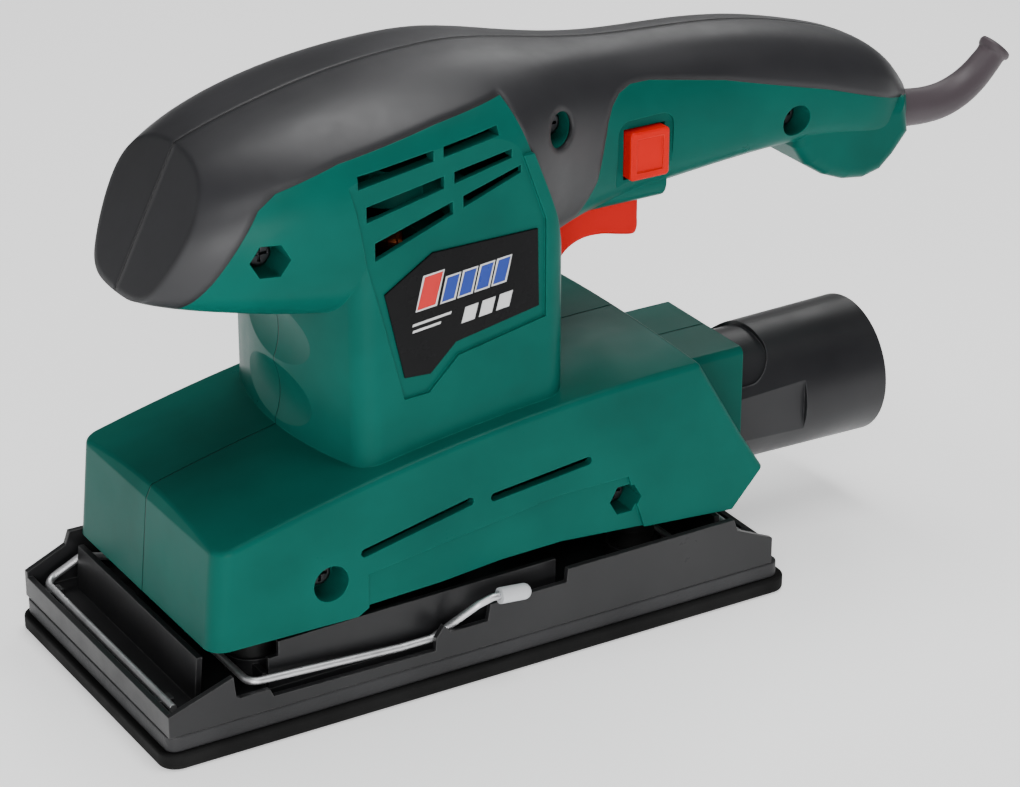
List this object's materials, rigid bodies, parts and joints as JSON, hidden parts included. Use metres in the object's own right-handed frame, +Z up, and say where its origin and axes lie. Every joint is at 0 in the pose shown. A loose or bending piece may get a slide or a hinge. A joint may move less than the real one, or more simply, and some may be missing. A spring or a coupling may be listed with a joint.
{
  "type": "orbital finishing sander",
  "caption": "Electric third-sheet finishing sander: palm grip and rear handle over a waisted body, finger trigger, dust outlet and wire paper clamps on a flat pad.",
  "frame": {"origin": "centre of the sanding pad's underside", "axes": "+Z up from the pad, +X along the tool towards the handle's cord end and the dust outlet, +Y towards the tool's right side"},
  "size_m": [0.2876, 0.0954, 0.1586],
  "materials": {
    "green_plastic": "fine satin moulding, dark teal green",
    "soft_grip": "satin dark grey overmould",
    "black_plastic": "glossy near-black moulding",
    "tray_plastic": "glossy near-black moulding",
    "red_plastic": "satin red moulding",
    "label_film": "plain dark printed film, no lettering",
    "pad_foam": "matt black dense foam rubber",
    "plate_steel": "textured dark paint",
    "wire_steel": "bright drawn wire",
    "screw_steel": "blackened zinc",
    "bearing_steel": "ground",
    "cap_vinyl": "translucent white vinyl",
    "sleeve_rubber": "matt purple-grey",
    "post_rubber": "matt black",
    "laminations": "varnished laminations",
    "copper": "enamelled copper",
    "brass_tube": "drawn brass",
    "carbon": "carbon",
    "fan_plastic": "natural nylon",
    "weight_iron": "sintered iron",
    "capacitor_film": "yellow film capacitor case",
    "spring_steel": "spring wire"
  },
  "bodies": {
    "housing": {"left_housing": "green_plastic", "right_housing": "green_plastic", "left_soft_grip": "soft_grip", "right_soft_grip": "soft_grip", "side_label": "label_film", "rating_plate": "label_film", "housing_screws": "screw_steel", "stator_core": "laminations", "field_coils": "copper", "upper_ball_bearing": "bearing_steel", "lower_ball_bearing": "bearing_steel", "upper_bearing_sleeve": "post_rubber", "brush_holders": "brass_tube", "carbon_brushes": "carbon", "brush_springs": "spring_steel", "switch_body": "carbon", "capacitor": "capacitor_film", "cord_clamp": "black_plastic", "cord_clamp_screws": "screw_steel", "cord_sleeve": "sleeve_rubber", "rubber_posts": "post_rubber", "post_screws": "screw_steel", "lock_button_spring": "spring_steel", "lock_spring_plate": "spring_steel", "trigger_spring": "spring_steel"},
    "rotor": {"rotor_shaft": "bearing_steel", "armature_core": "laminations", "armature_windings": "copper", "commutator": "copper", "cooling_fan": "fan_plastic", "counterweight": "weight_iron"},
    "platen": {"sanding_pad": "pad_foam", "backing_plate": "plate_steel", "platen_tray": "tray_plastic", "eccentric_bearing": "bearing_steel", "bearing_shield": "bearing_steel"},
    "front_clamp": {"front_clamp_wire": "wire_steel", "front_clamp_cap": "cap_vinyl"},
    "rear_clamp": {"rear_clamp_wire": "wire_steel", "rear_clamp_cap": "cap_vinyl"},
    "trigger_lever": {"trigger": "red_plastic"},
    "button": {"lock_button": "red_plastic"},
    "nozzle": {"dust_nozzle": "black_plastic"}
  },
  "joints": [
    {"name": "rotor_spin", "type": "hinge", "parent": "housing", "child": "rotor", "pos_m": [-0.0016, 0, 0.0405], "axis": [0, 0, 1], "continuous": true},
    {"name": "platen_orbit", "type": "hinge", "parent": "rotor", "child": "platen", "pos_m": [-0.0006, 0, 0.018], "axis": [0, 0, 1], "continuous": true},
    {"name": "front_clamp_lift", "type": "hinge", "parent": "platen", "child": "front_clamp", "pos_m": [-0.088, 0, 0.014], "axis": [0, -1, 0], "range_deg": [0, 8]},
    {"name": "rear_clamp_lift", "type": "hinge", "parent": "platen", "child": "rear_clamp", "pos_m": [0.0848, 0, 0.014], "axis": [0, 1, 0], "range_deg": [0, 8]},
    {"name": "trigger_squeeze", "type": "slide", "parent": "housing", "child": "trigger_lever", "axis": [0, 0, 1], "range_m": [0, 0.004], "stiffness_N_per_m": 600, "springref_m": -0.002, "deforming": ["trigger_spring"]},
    {"name": "lock_button_press", "type": "slide", "parent": "housing", "child": "button", "axis": [0, 1, 0], "range_m": [0, 0.0025], "stiffness_N_per_m": 500, "springref_m": -0.002},
    {"name": "nozzle_pull", "type": "slide", "parent": "housing", "child": "nozzle", "axis": [1, 0, 0], "range_m": [0, 0.009]}
  ],
  "couplings": [
    {"joint": "platen_orbit", "follows": "rotor_spin", "ratio": -1}
  ]
}
